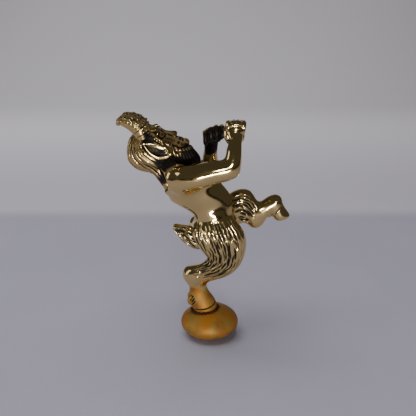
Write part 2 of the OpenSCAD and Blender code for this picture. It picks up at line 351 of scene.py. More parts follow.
class Skin:
    """The points of a piece, ready to be tooled. All measures are in millimetres."""

    def __init__(self, obj):
        self.obj = only(obj)
        self.co = places_of(obj.data)
        self.out = normals_of(obj.data)
        self.ends = edges_of(obj.data)
        self.cut = np.zeros(len(self.co))
        self.raise_ = np.zeros(len(self.co))
        self.tree = tree_of(self.co)
        self.faces = BVHTree.FromObject(obj, bpy.context.evaluated_depsgraph_get())

    def nearest(self, place):
        hit = self.faces.find_nearest(Vector(place) * MM)
        return hit[0] / MM, hit[1]

    def seen_from(self, x, z, side):
        """The skin at (x, z), looking at it from one side of the figure. None where there is no skin."""
        hit = self.faces.ray_cast(Vector((x, side * 40, z)) * MM, Vector((0, -side, 0)))
        return hit[0] / MM if hit[0] is not None else None

    def run_from(self, spots, side):
        """The skin under a run of (x, z) spots, looking from one side. Spots that miss are left out."""
        hits = [self.seen_from(x, z, side) for x, z in spots]
        return [hit for hit in hits if hit is not None]

    def along(self, path, width):
        """The points near a path: which ones, how far off, and how far along it from 0 to 1."""
        length = sum((Vector(b) - Vector(a)).length for a, b in zip(path, path[1:]))
        path = path_through(path, max(len(path), int(length / width) + 2))
        found = set()
        for place in path:
            found.update(i for _, i, _ in self.tree.find_range(place, width * 1.5))
        if not found:
            return None, None, None
        index = np.fromiter(sorted(found), int)
        spots = self.co[index]
        best = np.full(len(index), 1e9)
        share = np.zeros(len(index))
        for k in range(len(path) - 1):
            a, b = np.array(path[k]), np.array(path[k + 1])
            step = b - a
            t = np.clip((spots - a) @ step / max(step @ step, 1e-9), 0, 1)
            off = np.linalg.norm(spots - a - t[:, None] * step, axis=1)
            closer = off < best
            best[closer] = off[closer]
            share[closer] = (k + t[closer]) / (len(path) - 1)
        return index, best, share

    def groove(self, path, width, depth, blunt=0.0):
        index, off, share = self.along(path, width)
        if index is None:
            return
        taper = np.maximum(np.sin(np.pi * np.clip(share, 0.02, 0.98)) ** 0.6, blunt)
        reach = width * (0.35 + 0.65 * taper)
        cut = depth * taper * np.clip(1 - (off / reach) ** 2, 0, 1) ** 1.3
        self.cut[index] = np.maximum(self.cut[index], cut)

    def press(self):
        """Pushes all the cuts, and what is raised, into the mesh."""
        co = self.co + self.out * (self.raise_ - self.cut)[:, None]
        put_places(self.obj.data, co)


# %% [markdown]
# ## The body
# The core is the CAD model's limbs and trunk, with balls of wax for the muscles. A first melt with a
# coarse voxel joins them, and a long warm smoothing takes away the flats of the swept limbs and blends
# the hips and shoulders. Then the hands and the dewclaws are pressed on, and a fine melt makes the skin.

# %% Core of the body
BODY_NODES = ["torso", "haunches", "standing_thigh", "standing_shank", "standing_cannon", "standing_hoof",
              "raised_thigh", "raised_shank", "raised_cannon", "raised_hoof",
              "right_upper_arm", "right_forearm", "right_hand",
              "left_upper_arm", "left_forearm", "left_hand"]
FILLERS = ["waist_pin", "shoulder_pins", "neck_pin", "foot_pin"]
body = core_of("body", BODY_NODES + FILLERS)
COARSE = 0.4  # voxels, in millimetres
neck_plug = ball(-14.5, 0, 77, (6.2, 5.6, 6.2))
flesh = [
    ball(-13.9, -8.0, 75.4, (5.1, 4.6, 5.9)),        # near shoulder
    ball(-10.6, -7.4, 71.0, (5.6, 3.4, 3.2)),        # under the near arm
    ball(-12.0, 8.4, 74.0, (4.8, 4.4, 4.8)),         # far shoulder
    ball(-16.8, -4.4, 71.0, (3.4, 3.4, 5.0), (0, 25, 0)),    # shoulder blades
    ball(-16.8, 4.4, 71.0, (3.4, 3.4, 5.0), (0, 25, 0)),
    ball(-1.2, -4.2, 74.8, (4.2, 4.2, 3.2), (0, -30, 0)),    # chest
    ball(-1.2, 4.2, 74.8, (4.2, 4.2, 3.2), (0, -30, 0)),
    ball(-3.4, -4.2, 50.4, (4.4, 4.4, 4.8)),         # near buttock
    ball(1.6, -3.2, 58.4, (7.2, 4.6, 4.6), (0, 12, 0)),      # flank over the near hip
    ball(-8.2, 0, 29.4, (4.0, 3.8, 4.2)),            # hock
    ball(20.3, 7, 52.2, (3.7, 3.5, 3.7)),            # raised hock
    ball(29.2, 7, 61.2, (3.0, 3.5, 3.0)),            # raised fetlock
    ball(14.6, 7, 61.6, (4.6, 5.1, 4.8)),            # raised knee
]
armpits = rolls("armpits", [
    roll([(-12.0, side * 7.6, 70.2), (-8.0, side * 8.0, 70.4), (-4.0, side * 7.6, 71.4)], [2.0, 2.5, 1.3])
    for side in (-1, 1)])
melt(body, flesh + [neck_plug, armpits], COARSE)
warm(body, 20)
blend_limbs(body, 60)
shaping = Skin(body)
shaping.groove([(-21.2, -7.5, 72.6), (-22.2, 0, 72.2), (-21.2, 7.5, 72.6)], 6.0, 2.7, 1.0)
shaping.groove([(-19.6, -7.0, 67.0), (-20.2, 0, 67.0), (-19.6, 7.0, 67.0)], 4.5, 1.3, 1.0)
shaping.press()
warm(body, 15, 0.5, 0.4)
warm_near(body, [((-6.0, -8.0, 70.0), 4.5), ((-12.0, -5.0, 79.5), 3.2), ((-6.0, 8.0, 70.0), 4.5),
                 ((-12.0, 5.0, 79.5), 3.2), ((-20.5, 0.0, 72.0), 4.0)], 160)
print("core of the body:", len(body.data.vertices), "points")


# %% Hands: four fingers over each knuckle, curled and tucked in, and a thumb
near_palm = [ball(10.4, -6.6, 95.6, (4.1, 2.4, 3.6), (-14, 0, 0)), ball(10.7, -6.2, 92.4, (3.4, 2.2, 3.0))]
near_hand = [roll([(7.5, -6.9, 97.0), (9.2, -7.1, 97.5), (11.4, -7.1, 97.7), (13.3, -6.8, 97.2)],
                  [1.5, 1.7, 1.7, 1.3], 14)]
for i in range(4):
    x = 7.5 + 2.0 * i
    top = 97.2 + 0.7 * math.sin(math.pi * (i + 0.7) / 4.4)
    near_hand.append(roll([(x, -7.4, 95.8), (x, -6.9, top), (x, -4.8, top + 0.3),
                           (x, -2.6, top - 1.3), (x, -2.3, top - 4.0), (x, -3.6, top - 4.8)],
                          [0.9, 1.2, 1.25, 1.15, 1.0, 0.8], 16))
near_thumb = [roll([(8.2, -6.9, 90.4), (7.2, -7.3, 92.6), (6.7, -6.4, 94.8), (7.0, -4.8, 96.6)],
                   [1.3, 1.45, 1.2, 0.9], 14)]
far_hand = []
for i in range(4):
    t = i / 3
    x = -1.9 + 7.0 * t
    z = 91.9 + 2.4 * math.sin(math.pi / 2 * min(1, t * 1.15))
    far_hand.append(roll([(x * 0.8, 7.4, z - 3.6), (x * 0.95, 6.6, z - 0.6), (x, 4.4, z + 0.3),
                          (x + 0.2, 2.4, z - 1.0), (x + 0.1, 2.3, z - 3.4), (x * 0.8, 3.4, z - 4.4)],
                         [1.0, 1.15, 1.2, 1.1, 1.0, 0.85], 16))
far_thumb = [roll([(3.4, 6.6, 88.6), (5.2, 4.6, 91.6), (5.6, 1.2, 93.6), (7.0, -2.6, 90.6)],
                  [1.2, 1.25, 1.1, 0.8], 16)]
hands = rolls("fingers", near_hand + near_thumb + far_hand + far_thumb)

# %% Dewclaws
claws = rolls("claws", [
    roll([(-7.6, -3.0, 19.6), (-8.7, -2.7, 17.6), (-8.5, -2.4, 15.6)], [0.9, 1.35, 0.8], 10),
    roll([(-7.6, 3.0, 19.6), (-8.7, 2.7, 17.6), (-8.5, 2.4, 15.6)], [0.9, 1.35, 0.8], 10),
    roll([(26.9, 5.3, 57.0), (26.2, 5.4, 55.6), (26.9, 5.6, 54.6)], [0.8, 1.1, 0.7], 10),
    roll([(26.9, 8.7, 57.0), (26.2, 8.6, 55.6), (26.9, 8.4, 54.6)], [0.8, 1.1, 0.7], 10),
])
FINE = voxel_of(0.17)
melt(body, near_palm + [hands, claws], FINE)
drop_crumbs(body)
warm(body, 8)
print("skin of the body:", len(body.data.vertices), "points")

# %% [markdown]
# ### Fur
# From the waist down the figure is a goat. The fur is cut in long pointed strokes that leave the waist,
# turn with the thigh and run out at the hock. Three guide lines say how the hair lies: down the back of
# the leg, down its middle, and down its front.

# %% Guides for the fur
STANDING_GUIDES = [
    [(-6.0, 55.6), (-6.8, 51.0), (-5.2, 46.2), (-3.0, 42.4), (-1.6, 39.8), (-1.8, 37.4), (-4.4, 35.2),
     (-8.0, 33.4)],
    [(2.0, 56.2), (3.6, 51.2), (5.6, 46.2), (6.6, 41.4), (6.0, 37.2), (3.0, 33.8), (-1.6, 31.6),
     (-6.0, 30.6)],
    [(9.8, 57.0), (13.6, 52.4), (15.6, 47.0), (15.5, 41.0), (13.4, 35.2), (9.0, 30.6), (3.6, 28.4),
     (-1.0, 26.8)]]
RAISED_GUIDES = [
    [(1.0, 49.0), (5.5, 49.0), (9.6, 50.8), (12.4, 51.6), (14.0, 51.8), (15.6, 52.2), (17.0, 51.4)],
    [(1.0, 54.0), (5.4, 56.4), (9.6, 59.2), (13.4, 60.4), (16.4, 58.8), (18.2, 56.6), (19.4, 54.0)],
    [(0.0, 58.5), (4.4, 61.6), (9.4, 64.6), (13.4, 66.2), (17.2, 65.4), (19.8, 62.2), (21.0, 60.0)]]


def on_guides(guides, across, down):
    """A place on the leg in the side view. Across runs from back to front, down from hip to hock."""
    back, middle, front = (path_at(guide, min(down, 0.999)) for guide in guides)
    return (back * (1 - across) * (1 - 2 * across) + middle * 4 * across * (1 - across)
            + front * across * (2 * across - 1))


def fur(skin, guides, side, rows, columns, reach, width, depth, worn, on_leg):
    """Rows of strokes like tiles on a roof, each a little out of line with its neighbours."""
    strokes = 0
    for row in range(rows):
        for column in range(columns):
            across = (column + 0.5 * (row % 2) + random.uniform(-0.3, 0.3)) / columns
            down = (row + random.uniform(-0.35, 0.35)) / rows
            length = reach * random.uniform(0.7, 1.3)
            drift = random.uniform(-0.04, 0.04)
            if not 0.02 < across < 0.98:
                continue
            path = []
            for k in range(9):
                t = k / 8
                spot = on_guides(guides, across + drift * math.sin(math.pi * t), down + length * t)
                hit = skin.seen_from(spot[0], spot[1], side)
                if hit is not None and on_leg(hit):
                    path.append(hit)
            if len(path) < 5:
                continue
            keep = worn(across, down + length / 2)
            if keep > 0.05:
                skin.groove(path, width * (0.75 + 0.4 * keep), depth * keep)
                strokes += 1
    return strokes


# %% Cut the fur
def worn_standing(across, down):
    """Polishing has worn the fur off the point of the hip and down the front edge of the leg."""
    hip = math.exp(-((across - 0.28) / 0.2) ** 2 - ((down - 0.1) / 0.1) ** 2)
    edge = max(0.0, (across - 0.80) / 0.20)
    end = max(0.0, (down - 0.82) / 0.18)
    return max(0.0, 1.0 - 0.75 * hip - 0.85 * edge - 0.9 * end) * random.uniform(0.6, 1.15)


def worn_raised(across, down):
    return max(0.0, 1.0 - 1.2 * max(0, down - 0.8) / 0.2 - 0.6 * max(0, across - 0.85) / 0.15)


skin = Skin(body)
cuts = 0
for side in (-1, 1):
    cuts += fur(skin, STANDING_GUIDES, side, rows=10, columns=12, reach=0.20, width=0.62, depth=0.52,
                worn=worn_standing, on_leg=lambda spot: spot[1] < 3 or spot[0] < 1 or spot[2] < 47)
    cuts += fur(skin, RAISED_GUIDES, side, rows=6, columns=8, reach=0.26, width=0.62, depth=0.50,
                worn=worn_raised, on_leg=lambda spot: spot[1] > 0.5 and (spot[0] > 5 or spot[1] > 8))
print("strokes of fur:", cuts)

# %% Creases: knuckles, coronets, cleft toes, dewclaws, spine, navel
for x in (8.5, 10.5, 12.5):
    over = [skin.nearest((x, y, z))[0]
            for y, z in ((-8.4, 98.2), (-7.4, 99.4), (-5.6, 100.2), (-3.6, 99.4), (-1.6, 97.0))]
    skin.groove(over, 0.55, 0.6, 0.4)
skin.groove(skin.run_from(((6.6, 91.0), (7.8, 91.6), (9.0, 92.7)), -1), 0.5, 0.35, 0.3)
coronet = ((-6.6, 13.5), (-4, 13.9), (-1, 14.5), (1.2, 15.3), (2.5, 16.0))
skin.groove(skin.run_from(coronet, -1) + skin.run_from(coronet[::-1], 1), 0.45, 0.35, 1.0)
raised_coronet = ((27.9, 54.4), (29.4, 57.0), (31.2, 59.2), (32.3, 60.4))
for side in (-1, 1):
    for k in range(3):
        claw = [(-8.9 + 1.5 * t + 0.55 * k, 17.4 + 2.4 * t - 0.9 * k) for t in (0, 0.33, 0.67, 1)]
        skin.groove(skin.run_from(claw, side), 0.42, 0.5, 0.3)
    skin.groove(skin.run_from(raised_coronet, side), 0.42, 0.30, 0.8)
skin.groove([(36.3, 7, 55.4), (35.6, 7, 57.2), (33.8, 7, 59.4)], 0.45, 0.5)
skin.groove([(3.6, 0, 12.4), (3.5, 0, 13.8), (3.0, 0, 15.6)], 0.45, 0.5)
skin.groove([(-20.8, 0, 69.5), (-17.4, 0, 64.4), (-12.8, 0, 61.2), (-8.4, 0, 58.4)], 1.5, 0.7, 0.2)
skin.groove([(10.9, 0, 62.4), (10.8, 0, 61.6)], 0.7, 0.8, 0.8)
skin.press()
print("body tooled, deepest cut", round(float(skin.cut.max()), 2), "mm")

# %% [markdown]
# ## The head
# The head leans far back, so it is worked in its own directions: up the face from the chin, and out of
# the face. The features are a calm, ordinary face on the proportions that every drawing book gives: the
# eyes half way up the head, five eye-widths across, and the nose and mouth dividing the lower part.

# %% Directions of the face
CHIN = np.array((-8.5, 0.0, 88.3))
UP_FACE = np.array((-0.92, 0.0, 0.39))
OUT_OF_FACE = np.array((0.39, 0.0, 0.92))
HEAD_LENGTH = 24.0
EYE_LINE = HEAD_LENGTH / 2
NOSE_BASE = EYE_LINE * 0.55
MOUTH_LINE = NOSE_BASE * 0.66
EYE_WIDTH = 3.0
HAIR_DEPTH = 1.5


def face(up, across, out):
    return CHIN + up * UP_FACE + out * OUT_OF_FACE + np.array((0.0, across, 0.0))


# %% Core of the head, with the eye sockets pressed in
head = core_of("head", ["head", "neck_pin"])
melt(head, [], 0.35)
warm(head, 60)
head_places = places_of(head.data)
behind = np.clip((-2.0 - (head_places - CHIN) @ OUT_OF_FACE) / 3.0, 0, 1)
above = np.clip(((head_places - CHIN) @ UP_FACE - 16.5) / 3.0, 0, 1)
hairy = np.maximum(behind, above)[:, None]
put_places(head.data, head_places - HAIR_DEPTH * hairy * normals_of(head.data))
sockets = Skin(head)
for side in (-1, 1):
    sockets.groove([face(EYE_LINE, side * 2.1, 0.8), face(EYE_LINE, side * 3.2, 0.4),
                    face(EYE_LINE - 0.4, side * 4.4, -0.6)],
                   2.3, 1.1, 0.8)
    sockets.groove([face(MOUTH_LINE + 1.2, side * 3.6, 0.2), face(MOUTH_LINE - 1.2, side * 3.4, -0.4)],
                   1.8, 0.5, 0.6)
sockets.press()

# %% Features: nose, brows, eyes, lips, chin
features = [
    ball(*face(NOSE_BASE + 0.6, 0, 1.8), 1.15),
    ball(*face(1.9, 0, 0.0), (2.0, 2.2, 1.8)),
]
feature_rolls = [
    roll([face(EYE_LINE + 1.6, 0, 0.7), face(EYE_LINE - 0.6, 0, 0.5), face(EYE_LINE - 2.6, 0, 0.9),
          face(NOSE_BASE + 0.9, 0, 1.6)],
         [1.3, 1.1, 1.15, 1.25], 16),
    roll([face(EYE_LINE + 1.6, 0, -0.4), face(EYE_LINE - 2.6, 0, -0.1), face(NOSE_BASE + 0.8, 0, 0.5)],
         [1.7, 1.6, 1.9], 12)]
for side in (-1, 1):
    features.append(ball(*face(NOSE_BASE + 0.5, side * 1.2, 1.0), 0.85))
    features.append(ball(*face(EYE_LINE, side * EYE_WIDTH, -0.75), 1.5))
    features.append(ball(*face(EYE_LINE - 3.6, side * 3.9, -2.3), (2.8, 2.6, 2.6)))
    feature_rolls += [
        roll([face(EYE_LINE + 1.5, side * 0.7, 1.0), face(EYE_LINE + 2.1, side * 2.8, 1.0),
              face(EYE_LINE + 1.5, side * 5.2, -0.6)], [0.7, 0.8, 0.4]),
        roll([face(EYE_LINE, side * 1.5, 0.2), face(EYE_LINE + 0.85, side * 3.0, 0.75),
              face(EYE_LINE - 0.1, side * 4.6, -0.5)], [0.25, 0.36, 0.25]),
        roll([face(EYE_LINE - 0.1, side * 1.5, 0.2), face(EYE_LINE - 0.75, side * 3.0, 0.5),
              face(EYE_LINE - 0.1, side * 4.6, -0.5)], [0.22, 0.3, 0.22])]
for lift, full in ((0.42, 0.46), (-0.45, 0.56)):
    feature_rolls.append(roll([face(MOUTH_LINE, -2.4, 0.2), face(MOUTH_LINE + lift, -1.0, 1.0),
                               face(MOUTH_LINE + lift * 0.8, 0, 1.15),
                               face(MOUTH_LINE + lift, 1.0, 1.0), face(MOUTH_LINE, 2.4, 0.2)],
                              [0.25, full, full, full, 0.25], 18))
for across in (-3.2, 0, 3.2):
    feature_rolls.append(roll([(-20.6, across, 77.4), (-19.0, across, 74.2), (-18.0, across, 71.6),
                               (-17.2, across, 68.6)],
                              [2.2, 2.0, 1.8, 1.2]))
features.append(rolls("features", feature_rolls))
melt(head, features, 0.24)
warm(head, 12, 0.5, 0.3)

# %% [markdown]
# ### Hair and beard
# The hair falls in long heavy locks from the crown round the back of the head, and runs out over the
# nape. Each lock is a tapered roll of wax laid on the skull. The beard follows the jaw in short curls,
# and hangs in points over the throat.

# %% Locks
OUTER_HAIR = [(-29.4, 94.8), (-33.2, 91.6), (-34.9, 87.4), (-34.6, 82.8), (-32.2, 79.0),
              (-28.2, 76.3), (-23.8, 74.8), (-21.6, 72.8), (-20.4, 69.8)]
INNER_HAIR = [(-26.2, 94.4), (-27.9, 91.6), (-27.9, 88.0), (-25.4, 84.9), (-21.8, 82.5),
              (-18.8, 79.8), (-17.2, 77.2), (-16.6, 75.4), (-16.4, 73.8)]
HAIR_SPREAD = [5.0, 7.0, 8.4, 8.8, 8.6, 7.6, 6.2, 5.6, 5.2]
skull = Skin(head)
back = Skin(body)


def on_head(place, lift):
    """The nearest skin, of the skull or of the back, and a little above it."""
    (a, na), (b, nb) = skull.nearest(place), back.nearest(place)
    near, out = (a, na) if (a - Vector(place)).length < (b - Vector(place)).length else (b, nb)
    return near + out * lift


def lock(turn, start, stop, thick, lift, wave=0.03, phase=0.0, count=16):
    """turn goes from -1, by the near ear, over 0, the middle of the back, to 1, by the far ear."""
    run = []
    for k in range(count):
        share = k / (count - 1)
        t = start + (stop - start) * share
        here = turn + wave * math.sin(7 * t + phase)
        side_share = abs(here) ** 1.25
        outer = path_at(OUTER_HAIR, t)
        inner = path_at(INNER_HAIR, t)
        spread = np.interp(t, np.linspace(0, 1, len(HAIR_SPREAD)), HAIR_SPREAD)
        flat = outer * (1 - side_share) + inner * side_share
        place = (flat[0], spread * math.sin(here * math.pi / 2), flat[1])
        size = thick * min(1.0, 0.55 + 3 * share) * (1 - 0.8 * max(0.0, (share - 0.45) / 0.55) ** 1.2)
        run.append((on_head(place, lift * size), size))
    return run


hair = []
lock_count = 15
for i in range(lock_count):
    turn = -1 + 2 * i / (lock_count - 1)
    hair.append(lock(turn, start=random.uniform(0.0, 0.04), stop=random.uniform(0.86, 1.0), thick=1.02,
                     lift=0.3, wave=0.03, phase=i * 0.9))
for i in range(9):
    turn = -0.9 + 1.8 * (i + 0.5) / 9
    start = random.uniform(0.15, 0.40)
    hair.append(lock(turn, start, stop=start + random.uniform(0.40, 0.55), thick=0.8, lift=0.9, wave=0.05,
                     phase=i * 1.7))
for side in (-1, 1):
    for i in range(9):
        x = -23.6 + 1.15 * i
        strand = [(x + 0.9 * t, side * 8.4, 85.2 - 1.55 * t - 0.12 * i) for t in range(6)]
        hair.append([(on_head(spot, 0.2), 0.62 * (1 - 0.1 * k)) for k, spot in enumerate(strand)])
    for i in range(8):
        x, z = -21.8 + 0.9 * i, 92.4 - 0.55 * i
        hair.append([(on_head((x + 0.35 * t, side * (7.4 - 0.08 * i), z + 0.9 * t), 0.35),
                      0.5 * (1 - 0.25 * abs(t)))
                     for t in (-1.3, -0.65, 0.0, 0.65, 1.3)])
for i in range(9):
    across = -5.4 + 1.35 * i
    hair.append([(on_head((-22.8 - 1.2 * t, across * (1 - 0.06 * t), 97.0 - 0.25 * t), 0.25),
                  0.8 * (1 - 0.08 * t))
                 for t in range(7)])


# %% Beard, along the jaw from one temple to the other
JAW = [(-20.6, 7.6, 93.0), (-18.6, 7.6, 90.6), (-16.0, 7.0, 88.6), (-13.2, 5.8, 87.2),
       (-10.4, 4.2, 86.6), (-8.2, 2.2, 86.8), (-7.4, 0.0, 87.0)]
beard = []
for side in (-1, 1):
    jaw = path_through([(x, side * y, z) for x, y, z in JAW], 15)
    for k, root in enumerate(jaw):
        share = k / 14
        curl = Vector((0.9, side * 0.1, -1.3)) * (1.0 - 0.2 * share)
        top = on_head(root, 0.25)
        low = on_head(root + curl * 1.3, 0.15)
        beard.append(roll([top + Vector((-0.5, 0, 0.6)), top + Vector((0.15, side * 0.25, -0.1)), low],
                          [0.35, 0.55, 0.3], 8))
        if 1 < k:
            length = 3.4 + 3.6 * share
            sway = random.uniform(-0.4, 0.4)
            end = Vector((root.x + 0.5 + 2.9 * share + sway, root.y * (1 - 0.55 * share),
                          root.z - length - 1.4))
            middle = root.lerp(end, 0.5) + Vector((0.3 + 0.5 * share, side * 0.3, 0))
            beard.append(roll([on_head(root, -0.1), middle, end], [0.75, 0.85, 0.3], 10))
for side in (-1, 1):
    curl = [(-14.0, side * 6.2, 88.4), (-13.0, side * 6.4, 87.0), (-12.4, side * 6.0, 85.4),
            (-12.6, side * 5.6, 84.2)]
    beard.append([(on_head(spot, 0.35), size)
                  for spot, size in zip(path_through(curl, 10), np.linspace(0.9, 0.5, 10))])
wool = rolls("hair", hair + beard)
HEAD_FINE = voxel_of(0.195)
melt(head, [wool], HEAD_FINE)
drop_crumbs(head)
warm(head, 4)
print("skin of the head:", len(head.data.vertices), "points")

# %% Lips and nostrils
skin_of_head = Skin(head)
for side in (-1, 1):
    skin_of_head.groove([face(MOUTH_LINE, 0, 1.5), face(MOUTH_LINE, side * 1.2, 1.3),
                         face(MOUTH_LINE, side * 2.4, 0.6)], 0.4, 0.45, 0.7)
    skin_of_head.groove([face(NOSE_BASE - 0.1, side * 0.6, 2.4), face(NOSE_BASE - 0.1, side * 1.1, 2.1)],
                        0.4, 0.45, 0.8)
skin_of_head.press()
print("head tooled")

# %% [markdown]
# ## Horns, ears and tail
# These are small loose pieces that were cast alone and soldered into the head and the rump. The horns
# are short, ringed and covered in knobs. The ears are leaves with a rolled rim, and a ball for the
# lobe. The tail is a pointed tuft.

# %% Horns
HORN_LINE = [(-26.6, 91.6), (-28.4, 94.9), (-31.0, 97.1), (-33.6, 98.1), (-35.6, 98.1), (-36.8, 97.6)]
HORN_SIZES = [3.5, 3.5, 3.1, 2.6, 1.9, 0.9]
RINGS = 9
HORN_STEPS = 90
HORN_FINE = voxel_of(0.14)


def horn(name, side):
    spots = path_through([(x, side * (3.5 + 0.16 * i), z) for i, (x, z) in enumerate(HORN_LINE)],
                         HORN_STEPS)
    sizes = np.interp(np.linspace(0, 1, HORN_STEPS), np.linspace(0, 1, len(HORN_SIZES)), HORN_SIZES)
    piece = rolls(name, [list(zip(spots, sizes))], 8)
    melt(piece, [], 0.3)
    warm(piece, 25)
    beads = []
    for ring in range(2 * RINGS):
        at = int((ring + 0.5) / (2 * RINGS) * (HORN_STEPS - 1))
        along = (spots[min(at + 2, HORN_STEPS - 1)] - spots[max(at - 2, 0)]).normalized()
        over = Vector((along.z, 0, -along.x))
        for k in range(-3, 4):
            lean = math.radians(24 * k + random.uniform(-11, 11) + 12 * (ring % 2) - side * 10)
            size = sizes[at] - random.uniform(0.0, 0.25)
            bump = spots[at] + over * (size * math.cos(lean)) + Vector((0, size * math.sin(lean), 0))
            fat = random.uniform(0.42, 0.72)
            beads.append([(bump + along * (fat * d), fat * math.sqrt(1.05 - d * d))
                          for d in (-1, -0.6, 0.0, 0.6, 1)])
    melt(piece, [rolls("beads", beads), ball(-36.9, side * 4.3, 97.5, 1.0)], HORN_FINE)
    warm(piece, 3)
    marks = Skin(piece)
    for ring in range(1, RINGS):
        at = int(ring / RINGS * 86)
        across = (spots[at + 2] - spots[at - 2]).normalized().cross(Vector((0, 1, 0)))
        circle = [spots[at] + (across * math.cos(a) + Vector((0, math.sin(a), 0))) * float(sizes[at])
                  for a in np.linspace(0.9, 2 * math.pi - 0.9, 24)]
        marks.groove(circle, 0.34, 0.10 if ring > 2 else 0.3, 0.5)
    marks.press()
    return piece


horns = {"right_horn": horn("right_horn", -1), "left_horn": horn("left_horn", 1)}

# %% Ears
EAR_RIM = [(-26.6, 9.6, 90.2), (-24.7, 9.8, 87.4), (-22.9, 9.8, 85.6), (-20.5, 9.6, 84.5),
           (-17.9, 9.2, 84.7), (-16.1, 8.9, 85.9), (-16.3, 8.4, 87.3), (-17.8, 8.2, 88.3),
           (-20.2, 8.7, 89.4), (-23.2, 9.2, 90.1), (-26.6, 9.6, 90.2)]


def lobe_place(side):
    return (-16.0, side * 9.2, 86.0)


def ear(name, side):
    rim = [(x, side * y, z) for x, y, z in EAR_RIM]
    piece = rolls(name, [roll(rim, [0.25, 0.5, 0.7, 0.8, 0.75, 0.7, 0.5, 0.4, 0.4, 0.4, 0.25], 44)])
    dish = ball(-20.8, side * 8.3, 87.3, (5.0, 0.7, 2.3), (0, 20, 0))
    root = ball(-18.6, side * 7.2, 87.3, (3.2, 1.5, 2.3))
    lobe = ball(*lobe_place(side), 1.15)
    fold = rolls("fold", [roll([(-17.4, side * 8.8, 87.4), (-19.2, side * 9.1, 86.9),
                                (-21.6, side * 9.2, 87.5)], [0.5, 0.42, 0.2], 12)])
    melt(piece, [dish, root, lobe, fold], voxel_of(0.13))
    return warm(piece, 4)


ears = {"right_ear": ear("right_ear", -1), "left_ear": ear("left_ear", 1)}

# %% Tail
tail = core_of("tail", ["tail"])
TAIL_LINE = [(-3.0, 46.6), (-6.4, 47.0), (-9.6, 48.0), (-12.6, 49.6), (-14.8, 51.0), (-15.7, 51.6)]
tufts = []
for i in range(22):
    turn = 2 * math.pi * (i + random.uniform(-0.2, 0.2)) / 22
    wide = 3.2 + 1.1 * abs(math.cos(turn))
    run = []
    start = random.uniform(0.0, 0.3)
    for k in range(10):
        t = start + (random.uniform(0.92, 1.0) - start) * k / 9
        x, z = path_at(TAIL_LINE, t)
        girth = wide * (1 - t) ** 0.6 * 1.05
        size = (0.75 - 0.3 * t) * min(1, 0.5 + k / 4)
        run.append(((x, girth * 0.72 * math.sin(turn), z + girth * math.cos(turn)), size))
    tufts.append(run)
melt(tail, [rolls("tufts", tufts)], voxel_of(0.16))
warm(tail, 5)
strands = Skin(tail)
for i in range(90):
    start = random.uniform(0.05, 0.8)
    turn = random.uniform(0, 2 * math.pi)
    stroke = []
    for k in range(6):
        t = start + 0.2 * k / 5
        x, z = path_at(TAIL_LINE, t)
        stroke.append(strands.nearest((x, 4.5 * math.sin(turn + 0.5 * t),
                                       z + 6 * (1.02 - t) * math.cos(turn + 0.5 * t)))[0])
    strands.groove(stroke, 0.5, 0.45)
strands.press()
print("horns, ears and tail done")

# %% [markdown]
# ## Base and braze
# The base is a squashed ball, turned from the CAD model's own shape: the flat seat, the bore for the
# dowel and the tapped hole are already true. It was never finished as well as the figure, so its skin
# stays a little uneven. The braze is a rough ring that ran out round the hoof when the two were joined.

# %% Base
base = core_of("base", ["base_dome"])
melt(base, [], voxel_of(0.2))
warm(base, 6)
base_skin = Skin(base)
for i, place in enumerate(base_skin.co):
    ripple = noise.noise(Vector(place) / 4.5) * 0.10 + noise.noise(Vector(place) / 1.6) * 0.03
    base_skin.raise_[i] = ripple * min(1.0, max(0.0, place[2] - 1.0))
base_skin.press()
print("base:", len(base.data.vertices), "points")

# %% Braze
SEAT_MIDDLE = (-2.0, 12.0)
SEAT_TILT = math.radians(5)
ring = []
for i in range(73):
    turn = 2 * math.pi * i / 72
    reach = 1 + 0.025 * math.sin(5 * turn) + 0.02 * math.sin(11 * turn + 1)
    x = 5.5 * reach * math.cos(turn)
    ring.append(((SEAT_MIDDLE[0] + x, 5.3 * reach * math.sin(turn),
                  SEAT_MIDDLE[1] + x * math.tan(SEAT_TILT) + 0.05),
                 0.82 + 0.16 * math.sin(7 * turn) + 0.10 * math.sin(17 * turn)))
braze = rolls("braze", [ring])
drops = [ball(SEAT_MIDDLE[0] + 6.1 * math.cos(turn), 5.9 * math.sin(turn),
              SEAT_MIDDLE[1] - 0.1 + 6.1 * math.cos(turn) * math.tan(SEAT_TILT), random.uniform(0.35, 0.55))
         for turn in (0.3, 1.9, 3.3, 4.0, 4.45, 4.9, 5.5)]
melt(braze, drops, voxel_of(0.13))
warm(braze, 3)
print("braze:", len(braze.data.vertices), "points")

# %% [markdown]
# ## Where the dark dip stays, and where shade is painted
# The whole mascot is dipped black and then polished on a cloth wheel. The wheel reaches the open
# places and leaves the black in grooves, in hollows and under overhangs. The same black also paints
# shade: in the hollows between limbs, under overhangs, at the throat and under the ears, and where the
# far hand shades the near wrist. Two things are measured: how deep a point lies below the smoothed
# surface round it, and how much of the space over it is open.

# %% How open each place is, on a coarse copy of the whole figure
WHOLE = [body, head, tail, base] + list(horns.values()) + list(ears.values())
copies = []
for piece in WHOLE:
    copy = bpy.data.objects.new("openness", piece.data.copy())
    bpy.context.scene.collection.objects.link(copy)
    copies.append(copy)
coarse = melt(copies[0], copies[1:], 0.7)
warm(coarse, 3)
coarse_places, coarse_out = places_of(coarse.data), normals_of(coarse.data)
coarse_faces = BVHTree.FromObject(coarse, bpy.context.evaluated_depsgraph_get())
golden = math.pi * (3 - math.sqrt(5))
RAYS = [Vector((math.cos(golden * i) * math.sqrt(1 - z * z),
                math.sin(golden * i) * math.sqrt(1 - z * z), z))
        for i, z in enumerate(np.linspace(-0.97, 0.97, 40))]
